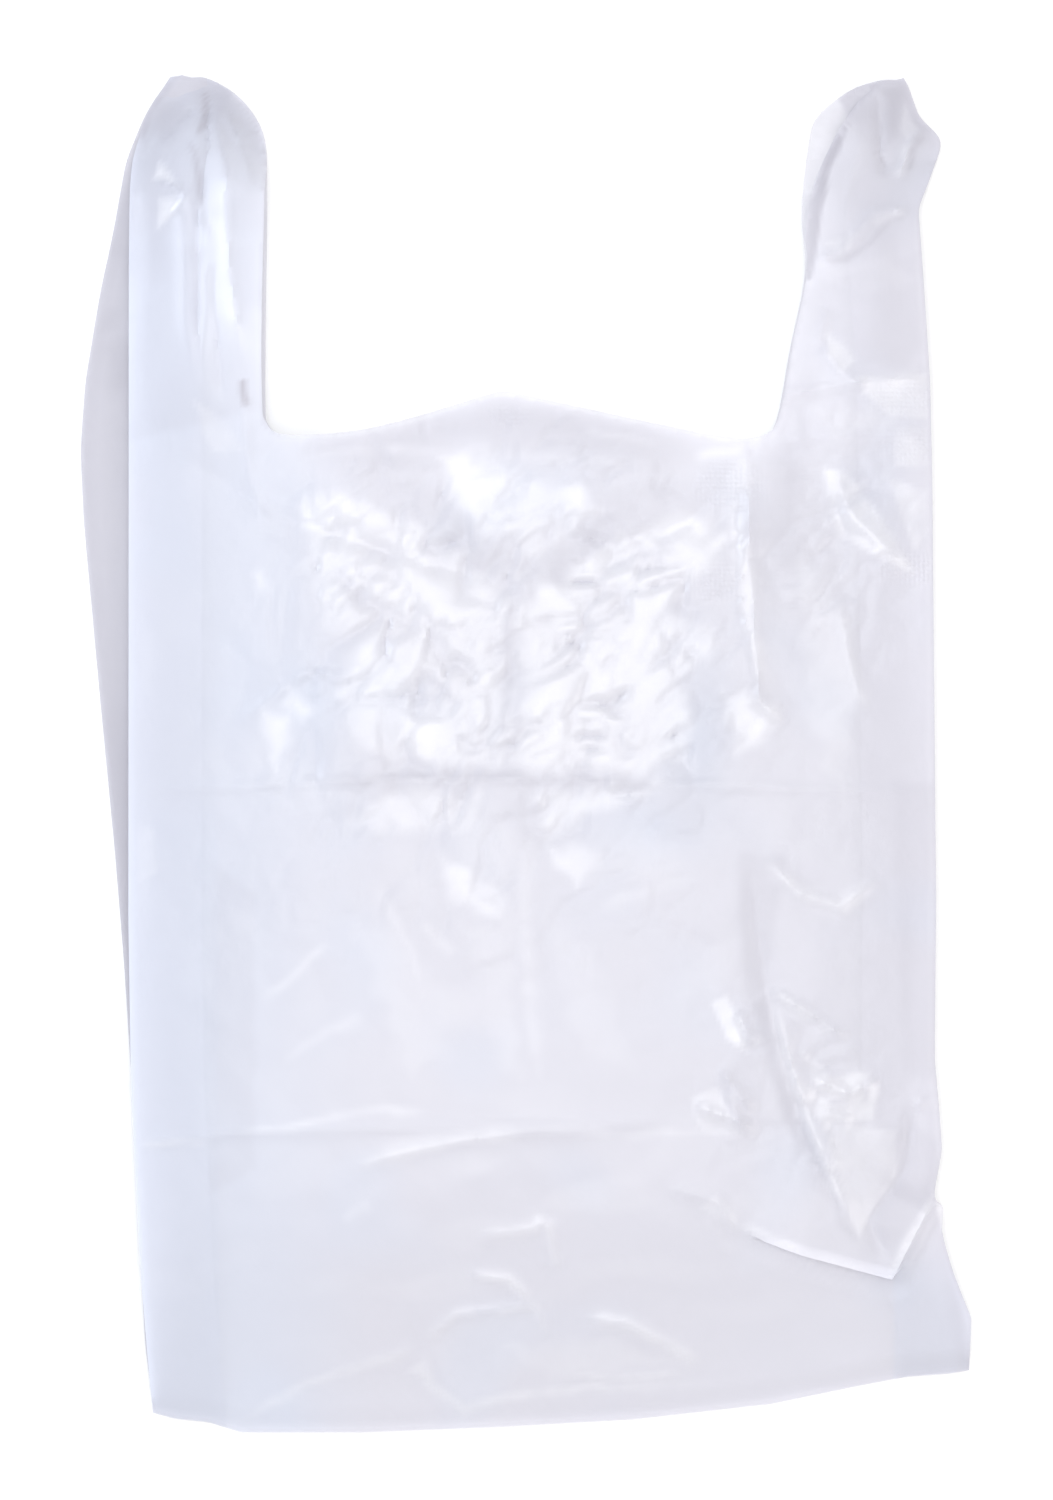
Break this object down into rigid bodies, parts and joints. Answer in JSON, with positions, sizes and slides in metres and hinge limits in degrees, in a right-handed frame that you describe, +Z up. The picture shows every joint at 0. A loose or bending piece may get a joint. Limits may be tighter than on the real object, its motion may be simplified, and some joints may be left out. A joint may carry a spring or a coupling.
{
  "type": "plastic carrier bag",
  "caption": "Empty white film carrier bag with loop handles and side gussets, lying on its back, mouth open, with soft creases and a pleat at one bottom corner.",
  "frame": {"origin": "centre of the bag's footprint, on the surface it lies on", "axes": "+X across the bag, +Y along it towards the handles, +Z up from the surface through the front panel"},
  "size_m": [0.3258, 0.4976, 0.0255],
  "materials": {
    "white_film": "thin high density polyethylene film, milky and slightly see-through, with a soft sheen"
  },
  "bodies": {
    "root": {"carrier_bag": "white_film"}
  },
  "joints": []
}
